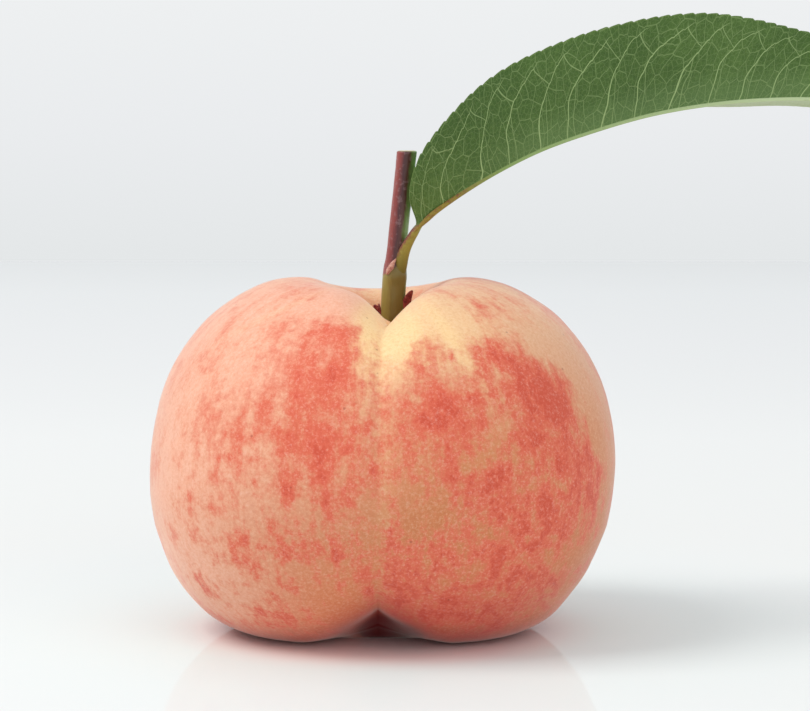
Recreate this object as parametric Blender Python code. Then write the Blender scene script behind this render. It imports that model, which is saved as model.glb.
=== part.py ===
"""A ripe peach, picked with a cut length of its fruiting shoot and one leaf. Metres, +Z up.

The fruit stands on the lobes of its blossom end, suture towards -Y. The shoot rises from the stem cavity,
and the leaf arches from its node towards +X. The origin is under the middle of the whole outline.
"""

import math

import bmesh
import bpy
from mathutils import Matrix, Vector

MM = 0.001
GAP = 0.3  # clear space between touching pieces, in mm

# Meridians of the fruit, in mm: radius and height from the blossom end up and into the stem cavity.
SIDE_MERIDIAN = (
    (0, 5.0), (4, 4.2), (8.5, 1.2), (12, 0), (18.5, 0), (24.5, 1.0), (30, 4.6), (34.8, 12), (37.5, 26),
    (35.4, 39), (29, 49.6), (20.5, 55.4), (12.6, 56.8), (7.6, 54.6), (4.8, 50.0), (3.0, 46.0), (0, 44.6),
)
FRONT_MERIDIAN = (
    (0, 5.0), (3, 4.2), (6, 1.2), (8, 0), (12, 0), (18, 1.5), (24.5, 6.2), (30.8, 14.5), (35, 27),
    (33.2, 39.5), (27.8, 49), (20.5, 54.2), (13, 56.0), (7.8, 54.0), (4.8, 49.6), (3.0, 46.0), (0, 44.6),
)
BACK_MERIDIAN = (
    (0, 5.0), (3.5, 4.2), (7.5, 1.2), (10.5, 0), (15.5, 0), (21.5, 1.2), (27.5, 5.4), (32.6, 13), (35, 26),
    (33, 39), (27, 48.6), (19, 53.0), (12.5, 53.7), (7.4, 52.0), (4.8, 48.6), (3.0, 46.0), (0, 44.6),
)
# The suture at each point of the meridian, in mm: how deep it is, how far it reaches to each side,
# how far its line stands to the right of the middle, and how sharply the two lobes meet there.
SUTURE = (
    (0, 10, 0, 1.7), (0, 10, -0.5, 1.7), (0, 12, -0.7, 1.7), (0.3, 13, -0.7, 1.7), (2.2, 13, -0.7, 1.7),
    (4.7, 12, -0.7, 1.7), (2.6, 9, -0.7, 1.7), (1.0, 6, -0.6, 1.7), (0.5, 4, -0.4, 1.7), (0.6, 4, -0.3, 1.7),
    (1.6, 6, 0, 1.8), (4.2, 8.5, 0.6, 2.0), (6.0, 9, 1.2, 2.3), (5.0, 8, 1.2, 2.3), (2.0, 6, 1.0, 2.0),
    (0.4, 4, 0.5, 1.7), (0, 4, 0, 1.7),
)
# How much fuller or slimmer than the meridians the lobes are: height in mm, share on the left, on the right.
LOBES = (
    (0, -0.012, -0.020), (3, -0.010, -0.028), (7, -0.010, -0.040), (12, -0.002, -0.032),
    (17, 0.008, -0.008), (22, 0.006, -0.004), (27, -0.004, 0), (35, -0.012, 0), (46, -0.014, 0),
    (53, -0.014, 0), (58, 0, 0),
)
CAVITY_START = 0.72  # place on the meridian from which the cavity leans to the shoot's side
CAVITY_SHIFT = 1.5  # and how far its floor stands to the right, in mm
CAVITY_LEAN = 1.5  # power by which that grows
LOBE_FULLNESS = 1.3  # how far each lobe swells beside the suture, in mm
FRUIT_TURNS = 64
FRUIT_RINGS = 44
FRONT_CROWDING = 0.5  # draws the mesh's meridians together at the suture
SLOPE_STEP = 0.004  # share of the meridian over which the skin's slope is taken

# The shoot, in mm: height, middle in X, radius. It is thicker and green below the leaf's node.
SHOOT = (
    (46.5, 1.5, 1.0), (46.9, 1.5, 1.5), (49.0, 1.55, 1.85), (53.0, 1.7, 1.9), (56.5, 1.9, 1.92),
    (58.5, 2.0, 1.8), (60.5, 2.2, 1.6), (66.0, 2.75, 1.55), (72.0, 3.4, 1.56), (76.9, 3.9, 1.6),
    (77.05, 3.9, 1.45),
)
SHOOT_TURNS = 20

# The leaf's stalk and midrib, in mm, from just clear of the shoot, and where along them the blade begins.
LEAF_LINE = (
    (3.1, -2.65, 57.2), (3.3, -2.55, 58.9), (3.7, -2.4, 60.7), (4.45, -2.3, 62.7), (5.9, -2.3, 65.2),
    (8.9, -2.4, 68.1), (16.0, -2.1, 72.5), (24.8, -1.3, 77.0), (33.8, -0.3, 80.2), (42.8, 0.8, 82.7),
    (52.0, 2.1, 84.25), (61.2, 3.7, 85.0), (70.5, 5.5, 85.0), (79.5, 7.6, 83.8), (88.5, 9.8, 81.2),
    (96.6, 12.0, 77.6), (103.0, 13.8, 73.6),
)
BLADE_START = 8.6  # length of the stalk
# Along the blade: share of its length, half its width in mm, and how each half leans in degrees above +Y,
# first the half nearer -Y and then the one that spreads back.
BLADE = (
    (0, 0.5, 112, 2), (0.02, 3.9, 112, 6), (0.04, 7.1, 112, 10), (0.06, 9.2, 112, 12),
    (0.08, 10.6, 112, 14), (0.12, 12.5, 111, 16), (0.17, 14.3, 110, 15), (0.23, 15.5, 109, 12),
    (0.3, 16.1, 108, 9), (0.37, 16.0, 107, 5), (0.44, 15.6, 106, 1), (0.5, 14.8, 105, -2),
    (0.56, 13.1, 104, -4), (0.62, 11.2, 103, -5), (0.7, 8.9, 103, -7), (0.78, 6.6, 102, -9),
    (0.86, 4.2, 101, -10), (0.94, 1.9, 100, -11), (1, 0.6, 115, 0),
)
BLADE_STEPS = 100  # rows read from the smooth curve through these
BLADE_THICKNESS = 0.7
BLADE_TAPER = 0.5  # share of that thickness which the blade loses towards its tip
STALK_RADIUS = 0.7
MIDRIB_RADIUS = (0.6, 0.35)  # at the stalk and at the tip
RIDGE_SPREAD = 0.8  # where the blade leaves the stalk or midrib, as a share of their radius
RIDGE_THICKNESS = 0.6  # half the thickness there
CHANNEL = 0.7  # height of the channel's floor above the middle of the midrib
UNDER_TURNS = (-0.9, 0, 0.9)  # places round the midrib's underside, in radians
LEAF_STATIONS = 64
LINE_STEPS = 240  # over which the length of the line is summed
LINE_REACH = 0.01  # share of the line over which its direction is taken

BUD_FOOT = Vector((0.65, -2.35, 57.4))
BUD_LEAN = (4, 28)  # degrees forwards and to the right
BUD_SIZE = (0.55, 0.45, 1.3)  # half width, half thickness and half height, in mm
BUD_POINT = 0.45  # how much its upper half narrows
BUD_TURNS = 12
BUD_RINGS = 8

# Dry bud scales round the foot of the shoot: direction from +X, foot height, length, width, tip's lean.
SCALES = (
    (-8, 48.4, 5.2, 1.9, 20), (196, 48.4, 4.2, 1.6, 24), (143, 48.6, 4.4, 1.6, 20),
    (75, 48.4, 4.4, 1.8, 22),
)
SCALES_MIDDLE = 1.55  # in X, where the shoot's middle stands at their height
SCALE_THICKNESS = 0.5
SCALES_RADIUS = 1.9 + GAP + 0.5 * SCALE_THICKNESS  # the shoot's radius, the clear space, half a scale
SCALE_THINNING = 0.6  # share of that which a scale loses towards its tip
SCALE_TIP = (0.12, 0.3)  # least share of the width and of the thickness, at the tip
SCALE_TURNS = 8
SCALE_STEPS = 6
SMOOTH_BELOW = 40  # degrees between faces that are shaded as one surface


def material(name, colour, roughness, sheen=0.0):
    """A Principled material of one linear colour."""
    made = bpy.data.materials.new(name)
    made.use_nodes = True
    shader = made.node_tree.nodes["Principled BSDF"]
    shader.inputs["Base Color"].default_value = (*colour, 1.0)
    shader.inputs["Roughness"].default_value = roughness
    shader.inputs["Sheen Weight"].default_value = sheen
    return made


def smooth_curve(points, place):
    """Point at place, 0 to 1, on the smooth curve that passes through the points at even steps."""
    spans = len(points) - 1
    index = min(int(place * spans), spans - 1)
    share = place * spans - index
    before, start, end, after = (
        Vector(points[min(max(index + step, 0), spans)]) for step in (-1, 0, 1, 2)
    )
    bend = 2 * before - 5 * start + 4 * end - after
    twist = 3 * (start - end) + after - before
    return start + 0.5 * share * (end - before + share * (bend + share * twist))


def between(pair, share):
    """The value at this share of the way from the pair's first value to its second."""
    return pair[0] + (pair[1] - pair[0]) * share


def look_up(rows, value):
    """The rest of a row, between the two rows whose first entries enclose the value."""
    for low, high in zip(rows, rows[1:]):
        if value <= high[0]:
            share = max(0.0, (value - low[0]) / (high[0] - low[0]))
            return [between(pair, share) for pair in zip(low[1:], high[1:])]
    return list(rows[-1][1:])


def finished_object(name, bm, look, root):
    """Turns a bmesh in millimetres into a smooth-shaded object under the root."""
    bmesh.ops.scale(bm, vec=(MM, MM, MM), verts=bm.verts)
    bmesh.ops.recalc_face_normals(bm, faces=bm.faces)
    mesh = bpy.data.meshes.new(name)
    bm.to_mesh(mesh)
    bm.free()
    mesh.materials.append(look)
    mesh.shade_smooth()
    mesh.set_sharp_from_angle(angle=math.radians(SMOOTH_BELOW))
    made = bpy.data.objects.new(name, mesh)
    bpy.context.scene.collection.objects.link(made)
    made.parent = root
    return made


def moulded(turns, rings, point_at):
    """A closed ball of meridians and rings, each vertex moved to point_at(along, turn), both 0 to 1."""
    bm = bmesh.new()
    bmesh.ops.create_uvsphere(bm, u_segments=turns, v_segments=rings, radius=1.0)
    for vert in bm.verts:
        along = 0.5 + math.asin(max(-1.0, min(1.0, vert.co.z))) / math.pi
        turn = math.atan2(vert.co.y, vert.co.x) / (2 * math.pi) % 1.0
        vert.co = point_at(along, turn)
    return bm


def moulded_sections(turns, sections):
    """A closed solid through the sections, each a ring of as many points as turns. Its ends are flat."""
    last = len(sections) - 1

    def point_at(along, turn):
        ring = round(along * (last + 2)) - 1
        section = sections[min(max(ring, 0), last)]
        if ring in (-1, last + 1):
            return sum((Vector(point) for point in section), Vector()) / turns
        return Vector(section[round(turn * turns) % turns])

    return moulded(turns, last + 2, point_at)


def meridian_point(along, turn):
    """Radius and height of the skin, without its suture. The three drawn meridians are mixed by the turn."""
    side = math.sin(turn) ** 2
    front = math.cos(turn) ** 2 if math.cos(turn) > 0 else 0.0
    point = (
        smooth_curve(SIDE_MERIDIAN, along) * side
        + smooth_curve(FRONT_MERIDIAN, along) * front
        + smooth_curve(BACK_MERIDIAN, along) * (1.0 - side - front)
    )
    belly = math.sin(math.pi * along) ** 2
    point.x += LOBE_FULLNESS * belly * math.sin(2 * turn) ** 2
    return Vector((point.x, max(point.y, 0.0)))


def fruit_point(along, turn):
    """Point of the skin: along is 0 at the blossom end and 1 in the stem cavity. The suture is at turn 0."""
    point = meridian_point(along, turn)
    ahead = meridian_point(min(along + SLOPE_STEP, 1.0), turn)
    behind = meridian_point(max(along - SLOPE_STEP, 0.0), turn)
    run = (ahead - behind).normalized()
    inward = Vector((-run.y, run.x))
    depth, reach, line, sharpness = smooth_curve(SUTURE, along)
    aside = abs(point.x * math.sin(turn) - line) / reach
    if math.cos(turn) > 0 and aside < 1:
        point += inward * depth * (1 - aside) ** sharpness
    radius = max(point.x, 0.0)
    across = radius * math.sin(turn)
    fullness_left, fullness_right = look_up(LOBES, point.y)
    across *= 1 + (fullness_left if across < 0 else fullness_right)
    into_cavity = max(0.0, (along - CAVITY_START) / (1 - CAVITY_START))
    shift = CAVITY_SHIFT * into_cavity**CAVITY_LEAN
    return Vector((across + shift, -radius * math.cos(turn), max(point.y, 0.0)))


def skin_point(along, turn):
    """Place of a vertex of the fruit's mesh, whose meridians stand closer together at the suture."""
    angle = 2 * math.pi * (turn + 0.25)
    angle = math.atan2(math.sin(angle), math.cos(angle))
    return fruit_point(along, angle - FRONT_CROWDING * math.sin(angle))


def make_fruit(root):
    """One solid, with its two lobes, the suture between them and the stem cavity."""
    bm = moulded(FRUIT_TURNS, FRUIT_RINGS, skin_point)
    skin = material("peach_skin", (0.75, 0.27, 0.16), 0.6, 0.5)
    return finished_object("peach_fruit", bm, skin, root)


def make_shoot(root):
    """The cut twig, leaning a little to the right, with its lower end just clear of the cavity's floor."""
    turns = [2 * math.pi * step / SHOOT_TURNS for step in range(SHOOT_TURNS)]
    sections = []
    for height, middle, radius in SHOOT:
        sections.append([(middle + radius * math.cos(a), radius * math.sin(a), height) for a in turns])
    bm = moulded_sections(SHOOT_TURNS, sections)
    bark = material("shoot_bark", (0.16, 0.05, 0.04), 0.55)
    return finished_object("fruiting_shoot", bm, bark, root)


def line_frame(line, place):
    """Point of the leaf's line, with the directions back and up that are square to it."""
    ahead = smooth_curve(line, min(place + LINE_REACH, 1.0))
    along = ahead - smooth_curve(line, max(place - LINE_REACH, 0.0))
    back = Vector((-along.y, along.x, 0.0)).normalized()
    up = along.cross(back).normalized()
    return smooth_curve(line, place), back, up


def measured(line):
    """Rows of (length from the start, place on the curve) along a line."""
    rows = [(0.0, 0.0)]
    before = smooth_curve(line, 0.0)
    for step in range(1, LINE_STEPS + 1):
        point = smooth_curve(line, step / LINE_STEPS)
        rows.append((rows[-1][0] + (point - before).length, step / LINE_STEPS))
        before = point
    return rows


def half_points(point, reach, skin, half_width, radius, half_thickness):
    """Points on the two skins of one half of the blade, at its edge and half way out."""
    outer = []
    inner = []
    for width in (half_width, 0.5 * half_width):
        spread = max(width, radius * RIDGE_SPREAD)
        thick = half_thickness if width > radius else radius * RIDGE_THICKNESS
        outer.append(point + reach * spread + skin * thick)
        inner.append(point + reach * spread - skin * thick)
    return outer, inner


def leaf_section(distance, line_rows, blade_rows):
    """Twelve points round the leaf at one distance: a round stalk that opens into two leaning halves."""
    point, back, up = line_frame(LEAF_LINE, look_up(line_rows, distance)[0])
    share = (distance - BLADE_START) / (line_rows[-1][0] - BLADE_START)
    half_width, *leans = look_up(blade_rows, share)
    radius = between(MIDRIB_RADIUS, share)
    if share < 0:
        half_width, radius, share = 0.0, STALK_RADIUS, 0.0
    half_thickness = 0.5 * BLADE_THICKNESS * (1 - BLADE_TAPER * share)
    halves = []
    for lean, side in zip(leans, (-1, 1)):
        reach = back * math.cos(math.radians(lean)) + up * math.sin(math.radians(lean))
        skin = side * (back * math.sin(math.radians(lean)) - up * math.cos(math.radians(lean)))
        halves.append(half_points(point, reach, skin, half_width, radius, half_thickness))
    under = [point + radius * (back * math.sin(turn) - up * math.cos(turn)) for turn in UNDER_TURNS]
    opening = math.radians(0.5 * sum(leans))
    channel = point + CHANNEL * radius * (back * math.cos(opening) + up * math.sin(opening))
    (outer_front, inner_front), (outer_back, inner_back) = halves
    return [*outer_front, *under, *reversed(outer_back), *inner_back, channel, *reversed(inner_front)]


def make_leaf(root):
    """Stalk, midrib and the folded blade in one solid."""
    line_rows = measured(LEAF_LINE)
    blade_rows = [tuple(smooth_curve(BLADE, step / BLADE_STEPS)) for step in range(BLADE_STEPS + 1)]
    stride = line_rows[-1][0] / LEAF_STATIONS
    sections = [leaf_section(step * stride, line_rows, blade_rows) for step in range(LEAF_STATIONS + 1)]
    bm = moulded_sections(len(sections[0]), sections)
    return finished_object("leaf", bm, material("leaf_blade", (0.08, 0.16, 0.04), 0.5), root)


def bud_point(along, turn):
    """The bud's outline narrows to a point."""
    height = math.sin(math.pi * (along - 0.5))
    girth = math.cos(math.pi * (along - 0.5)) * (1.0 - BUD_POINT * max(height, 0.0))
    angle = 2 * math.pi * turn
    half_width, half_thickness, half_height = BUD_SIZE
    side = girth * half_width * math.cos(angle)
    front = girth * half_thickness * math.sin(angle)
    return Vector((side, front, (height + 1) * half_height))


def make_bud(root):
    """The pointed bud in the leaf's axil."""
    bm = moulded(BUD_TURNS, BUD_RINGS, bud_point)
    forwards, right = (math.radians(angle) for angle in BUD_LEAN)
    turned = Matrix.Rotation(forwards, 4, "X") @ Matrix.Rotation(right, 4, "Y")
    bmesh.ops.transform(bm, matrix=Matrix.Translation(BUD_FOOT) @ turned, verts=bm.verts)
    return finished_object("axillary_bud", bm, material("bud_down", (0.45, 0.22, 0.16), 0.7), root)


def scale_section(share, length, width, lean):
    """Points round a bud scale: a thin lens that narrows to its tip and leans outwards."""
    least_width, least_thickness = SCALE_TIP
    half = 0.5 * width * max(1.0 - share**2, least_width)
    thick = 0.5 * SCALE_THICKNESS * max(1.0 - SCALE_THINNING * share, least_thickness)
    away = length * share * math.sin(math.radians(lean)) * share
    height = length * share * math.cos(math.radians(lean) * share)
    turns = [2 * math.pi * step / SCALE_TURNS for step in range(SCALE_TURNS)]
    return [(away + thick * math.cos(a), half * math.sin(a), height) for a in turns]


def make_scales(root):
    """The dry scales that stay round the foot of the shoot."""
    look = material("bud_scale", (0.13, 0.03, 0.02), 0.7)
    steps = [step / SCALE_STEPS for step in range(SCALE_STEPS + 1)]
    for number, (direction, height, length, width, lean) in enumerate(SCALES, start=1):
        bm = moulded_sections(SCALE_TURNS, [scale_section(step, length, width, lean) for step in steps])
        bmesh.ops.translate(bm, vec=(SCALES_RADIUS, 0, height), verts=bm.verts)
        bmesh.ops.rotate(bm, matrix=Matrix.Rotation(math.radians(direction), 3, "Z"), verts=bm.verts)
        bmesh.ops.translate(bm, vec=(SCALES_MIDDLE, 0, 0), verts=bm.verts)
        finished_object(f"bud_scale_{number}", bm, look, root)


def stand_on_origin(root):
    """Moves the root so that the origin is under the middle of the whole outline."""
    corners = [made.matrix_world @ Vector(corner) for made in root.children for corner in made.bound_box]
    for axis in (0, 1):
        places = [corner[axis] for corner in corners]
        root.location[axis] = -0.5 * (min(places) + max(places))


def main():
    for old in list(bpy.data.objects):
        bpy.data.objects.remove(old)
    root = bpy.data.objects.new("peach", None)
    bpy.context.scene.collection.objects.link(root)
    for make in (make_fruit, make_shoot, make_leaf, make_bud, make_scales):
        make(root)
    bpy.context.view_layer.update()
    stand_on_origin(root)


main()
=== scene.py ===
"""The looks of a ripe peach with a cut length of its shoot and one leaf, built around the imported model.

Sizes are in millimetres from the foot of the fruit's axis, and become metres as each piece is finished.
"""

import functools
import math

import bmesh
import bpy
from mathutils import Matrix, Vector, noise


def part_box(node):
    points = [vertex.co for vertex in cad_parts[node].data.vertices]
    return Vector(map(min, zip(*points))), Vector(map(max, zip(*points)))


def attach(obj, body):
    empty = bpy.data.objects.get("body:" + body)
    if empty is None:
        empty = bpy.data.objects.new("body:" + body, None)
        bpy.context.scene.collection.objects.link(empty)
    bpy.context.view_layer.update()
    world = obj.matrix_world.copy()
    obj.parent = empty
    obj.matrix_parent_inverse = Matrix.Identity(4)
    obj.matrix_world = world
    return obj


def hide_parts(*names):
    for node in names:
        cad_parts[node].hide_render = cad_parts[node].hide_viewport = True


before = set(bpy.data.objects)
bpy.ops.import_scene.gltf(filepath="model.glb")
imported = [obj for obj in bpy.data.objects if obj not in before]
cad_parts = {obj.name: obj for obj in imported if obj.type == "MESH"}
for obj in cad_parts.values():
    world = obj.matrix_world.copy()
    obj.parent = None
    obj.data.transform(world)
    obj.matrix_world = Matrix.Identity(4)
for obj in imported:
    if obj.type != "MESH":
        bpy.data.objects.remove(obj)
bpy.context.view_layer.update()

MM = 0.001
fruit_low, fruit_high = (Vector(corner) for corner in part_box("peach_fruit"))
FOOT = Vector(((fruit_low.x + fruit_high.x) / 2, (fruit_low.y + fruit_high.y) / 2, fruit_low.z))

# ---------------------------------------------------------------- the fruit's shape

# Meridians: radius and height from the blossom end up and into the stem cavity.
SIDE_MERIDIAN = (
    (0, 5.0), (4, 4.2), (8.5, 1.2), (12, 0), (18.5, 0), (24.5, 1.0), (30, 4.6), (34.8, 12), (37.5, 26),
    (35.4, 39), (29, 49.6), (20.5, 55.4), (12.6, 56.8), (7.6, 54.6), (4.8, 50.0), (3.0, 46.0), (0, 44.6),
)
FRONT_MERIDIAN = (
    (0, 5.0), (3, 4.2), (6, 1.2), (8, 0), (12, 0), (18, 1.5), (24.5, 6.2), (30.8, 14.5), (35, 27),
    (33.2, 39.5), (27.8, 49), (20.5, 54.2), (13, 56.0), (7.8, 54.0), (4.8, 49.6), (3.0, 46.0), (0, 44.6),
)
BACK_MERIDIAN = (
    (0, 5.0), (3.5, 4.2), (7.5, 1.2), (10.5, 0), (15.5, 0), (21.5, 1.2), (27.5, 5.4), (32.6, 13), (35, 26),
    (33, 39), (27, 48.6), (19, 53.0), (12.5, 53.7), (7.4, 52.0), (4.8, 48.6), (3.0, 46.0), (0, 44.6),
)
# The suture at each point of the meridian: its depth, its reach to each side, its line right of the middle,
# and how sharply it dips.
SUTURE = (
    (0, 10, 0, 1.7), (0, 10, -0.5, 1.7), (0, 12, -0.7, 1.7), (0, 13, -0.7, 1.7), (2.8, 13, -0.7, 1.7),
    (4.8, 12, -0.7, 1.7), (2.6, 9, -0.7, 1.7), (1.0, 6, -0.6, 1.7), (0.5, 4, -0.4, 1.7), (0.6, 4, -0.3, 1.7),
    (1.6, 6, 0, 1.8), (4.2, 8.5, 0.6, 2.0), (6.0, 9, 1.2, 2.3), (5.0, 8, 1.2, 2.3), (2.0, 6, 1.0, 2.0),
    (0.4, 4, 0.5, 1.7), (0, 4, 0, 1.7),
)
# How much fuller or slimmer than the meridians each lobe is: height, share left, share right.
LOBES = (
    (0, -0.012, -0.020), (3, -0.010, -0.028), (7, -0.010, -0.040), (12, -0.002, -0.032), (17, 0.008, -0.008),
    (22, 0.006, -0.004), (27, -0.004, 0), (35, -0.012, 0), (46, -0.014, 0), (53, -0.014, 0), (58, 0, 0),
)
# How much the lobes swell between the front, the sides and the back.
LOBE_FULLNESS = 1.3
# From here along the meridian the cavity's axis bends right by this much, to where the shoot stands.
CAVITY_START = 0.72
CAVITY_SHIFT = 1.5
FRUIT_HEIGHT = 57.0
FRUIT_TURNS = 240
FRUIT_RINGS = 190
FRONT_CROWDING = 0.5
SLOPE_STEP = 0.004
LUMP_SIZE = 17.0
LUMP_HEIGHT = 0.35
DIMPLE_SIZE = 3.2
DIMPLE_HEIGHT = 0.05

# Where the sun reddened the skin: direction in degrees from the suture, height, half width in degrees,
# half height, slope in mm a degree, softness of the edge, and strength. A negative strength takes red away.
BLUSH = (
    (-17, 46.5, 10, 6, 0, 0.5, 0.44), (-24, 40, 18, 11, 0.1, 0.9, 0.2), (-14, 36, 9, 8, 0, 0.8, 0.16),
    (-50, 38, 24, 18, 0, 0.9, 0.04), (-31, 39, 3, 2.2, 0.6, 0.5, 0.3), (-23, 40, 3, 2, 0, 0.5, 0.3),
    (-38, 36.5, 2.5, 2, 0.4, 0.5, 0.16), (-33, 50, 10, 4, 0, 0.8, -0.1), (-14, 33, 2.5, 4, 0, 0.5, 0.22),
    (-8, 27, 2.2, 3, 0, 0.5, 0.22), (-24, 34.5, 3, 2, 0, 0.6, 0.2), (-53, 22, 3, 3, 0, 0.5, 0.08),
    (-38, 17, 4, 2.5, 0.4, 0.6, 0.12), (-15, 15, 5, 4, 0, 0.7, 0.14), (-36, 6, 9, 3, 0, 0.6, 0.1),
    (-27, 9.5, 11, 2.8, 0, 0.6, -0.24), (-30, 23, 9, 6, 0, 0.8, -0.12), (-12, 55.5, 16, 3.5, 0, 0.5, -0.4),
    (-16, 22, 14, 12, 0, 0.9, 0.16), (-60, 14, 24, 9, 0, 0.8, -0.04), (-33, 31, 6, 4, 0, 0.7, -0.22),
    (-2, 15, 15, 5, 0, 0.9, -0.2), (-24, 31.5, 4, 4, 0, 0.7, 0.12), (-9, 32, 4.5, 4, 0, 0.7, 0.12),
    (-43, 21, 6, 3.5, 0, 0.7, 0.06), (0, 43.5, 3, 5, 0, 0.6, 0.16), (-3, 46, 4, 8, 0, 0.8, 0.12),
    (-70, 28, 16, 22, 0, 0.8, -0.14), (7, 37, 3, 4, 0, 0.6, 0.16), (15, 37, 4, 4, 0, 0.6, -0.2),
    (42, 38.5, 6, 6, 0, 0.8, 0.18), (55, 45, 8, 7, 0, 0.8, -0.2), (-19, 37, 5, 4, 0, 0.7, -0.2),
    (12, 43, 8, 5.5, 0, 0.45, 0.34), (12, 36, 10, 7, 0, 0.7, 0.16), (23.5, 48, 4.8, 2.4, -1.05, 0.8, -0.34),
    (40, 43.5, 16, 6.5, -0.15, 0.25, 0.18), (38, 29, 27, 20, -0.1, 0.2, 0.34),
    (30, 51, 12, 2.6, -0.1, 0.6, -0.25), (50, 40.5, 13, 5.5, 0, 0.6, 0.18), (44, 38.5, 8, 8, 0, 0.7, 0.18),
    (55, 25, 9, 6, 0, 0.6, 0.14), (52, 53, 14, 3, 0, 0.6, 0.12), (52, 47, 10, 5, 0, 0.7, -0.12),
    (43, 20.5, 6, 4, 0, 0.8, -0.18), (24.5, 34, 4, 3.5, 0, 0.8, -0.12), (18, 25, 7, 9, 0, 0.8, -0.16),
    (37, 35.5, 2.6, 2.2, 0, 0.5, 0.25), (33, 23, 5, 3.2, -0.3, 0.5, 0.28), (40, 24.5, 3, 2, 0, 0.5, 0.25),
    (45, 19, 5, 2, 0.3, 0.5, 0.25), (17, 31, 2.2, 3, 0, 0.5, 0.28), (20, 26, 2, 3, 0, 0.5, 0.25),
    (14, 53, 12, 3.5, 0, 0.6, -0.4), (52, 22, 14, 12, 0, 0.6, 0.12), (34, 7, 34, 6, 0, 0.6, 0.42),
    (30, 13, 26, 6, 0, 0.8, 0.12), (6, 14, 12, 9, 0, 0.7, 0.2), (0, 50, 7, 9, 0, 0.35, -0.4),
    (0, 30, 2, 20, 0, 0.6, -0.14), (68, 42, 11, 12, -0.3, 0.5, -0.3), (92, 38, 14, 20, 0, 0.7, 0.26),
    (100, 53, 40, 4, 0, 0.8, 0.2), (130, 30, 38, 20, 0.05, 0.5, 0.34), (-125, 27, 42, 20, -0.05, 0.6, 0.26),
    (178, 24, 30, 14, 0.1, 0.7, 0.18), (-160, 44, 26, 8, 0.1, 0.7, 0.16), (150, 8, 50, 7, 0, 0.6, 0.18),
    (-110, 7, 50, 7, 0, 0.6, 0.18), (2, 26, 30, 20, 0, 0.8, 0.14),
)
# Paler yellow marks, in the same terms.
CREAM = (
    (1, 51.5, 11, 7, 0, 0.6, 0.9), (-5, 46, 5, 6, 0, 0.9, 0.3), (20, 51, 14, 4.5, 0, 0.8, 0.55),
    (23.5, 48, 6, 3.2, -1.05, 1, 0.4), (-41, 53.2, 15, 0.7, 0.32, 0.8, 0.14),
    (1, 24, 2.2, 24, 0, 0.8, 0.12), (178, 50, 30, 8, 0, 0.8, 0.4),
)
# A rosy flush under the red, partly painted light: paler on the lit left lobe, and low on the left where
# light comes up from the table.
PINK_AND_PAINTED_LIGHT = (
    (-60, 40, 50, 26, 0, 0.7, 0.8), (-55, 9, 22, 9, 0, 0.8, 0.5), (-30, 52, 26, 8, 0, 0.8, 0.6),
    (-100, 30, 50, 26, 0, 0.8, 0.4), (130, 40, 60, 30, 0, 0.8, 0.35),
)
# Painted shade: dark red painted on the skin in the notch between the lobes where they meet the table, where
# shade falls.
FURROW_SHADE = ((0, 1, 17, 6, 0, 0.7, 0.9), (24, 3, 30, 8, 0, 0.8, 0.3))


# ---------------------------------------------------------------- the shoot, leaf, bud and bud scales

# The shoot: height, middle in X, radius.
SHOOT = ((46.9, 1.5, 1.5), (49.0, 1.55, 1.85), (53.0, 1.7, 1.9), (56.5, 1.9, 1.92), (58.5, 2.0, 1.8),
         (60.5, 2.2, 1.6), (66.0, 2.75, 1.55), (72.0, 3.4, 1.56), (76.9, 3.9, 1.6))
SHOOT_TURNS = 56
SHOOT_RINGS = 150
CUT_START = 0.95
CUT_BEVEL = 0.12
# The swelling under the leaf: its height, how far it stands out, its reach up and down, and its direction.
NODE_HEIGHT = 57.4
NODE_SWELL = 0.28
NODE_REACH = 1.3
NODE_TURN = 1.1

# The leaf's stalk and midrib, from inside the shoot to the tip.
LEAF_LINE = (
    (2.2, -0.2, 54.6), (2.5, -0.55, 56.6), (2.85, -0.95, 58.6), (3.35, -1.4, 60.7), (4.25, -1.9, 62.7),
    (5.9, -2.25, 65.2), (8.9, -2.4, 68.1), (16.0, -2.1, 72.5), (24.8, -1.3, 77.0), (33.8, -0.3, 80.2),
    (42.8, 0.8, 82.7), (52.0, 2.1, 84.25), (61.2, 3.7, 85.0), (70.5, 5.5, 85.0), (79.5, 7.6, 83.8),
    (88.5, 9.8, 81.2), (96.6, 12.0, 77.6), (103.0, 13.8, 73.6),
)
BLADE_START = 11.4
# Along the blade: share of its length, half its width, and how each half leans in degrees above +Y.
BLADE = (
    (0, 0.5, 112, 2), (0.02, 4.3, 112, 6), (0.04, 7.3, 112, 10), (0.06, 9.3, 112, 12),
    (0.08, 10.6, 112, 14), (0.12, 12.5, 111, 16), (0.17, 14.3, 110, 15), (0.23, 15.5, 109, 12),
    (0.3, 16.1, 108, 9), (0.37, 16.0, 107, 5), (0.44, 15.6, 106, 1), (0.5, 14.8, 105, -2),
    (0.56, 13.1, 104, -4), (0.62, 11.2, 103, -5), (0.7, 8.9, 103, -7), (0.78, 6.6, 102, -9),
    (0.86, 4.2, 101, -10), (0.94, 1.9, 100, -11), (1, 0.25, 100, -12),
)
BLADE_THICKNESS = 0.32
# The stalk's and the midrib's radius, how much thicker each starts, and the midrib's at its two ends.
STALK_RADIUS = 0.68
STALK_FLARE = 0.38
MIDRIB_RADIUS = (0.23, 0.28)
MIDRIB_FLARE = 0.3
TOOTH_PITCH = 1.72
TOOTH_DEPTH = 0.27
TOOTH_CREST = 0.84
TOOTH_STEPS = 10
VEIN_PITCH = 5.6
VEIN_WIDTH = 0.25
VEIN_RELIEF = 0.05
# A side vein's lean towards the tip, its curve near the margin and its kink.
VEIN_LEAN = 3.8
VEIN_CURVE = 8.5
VEIN_KINK = 0.8
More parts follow.
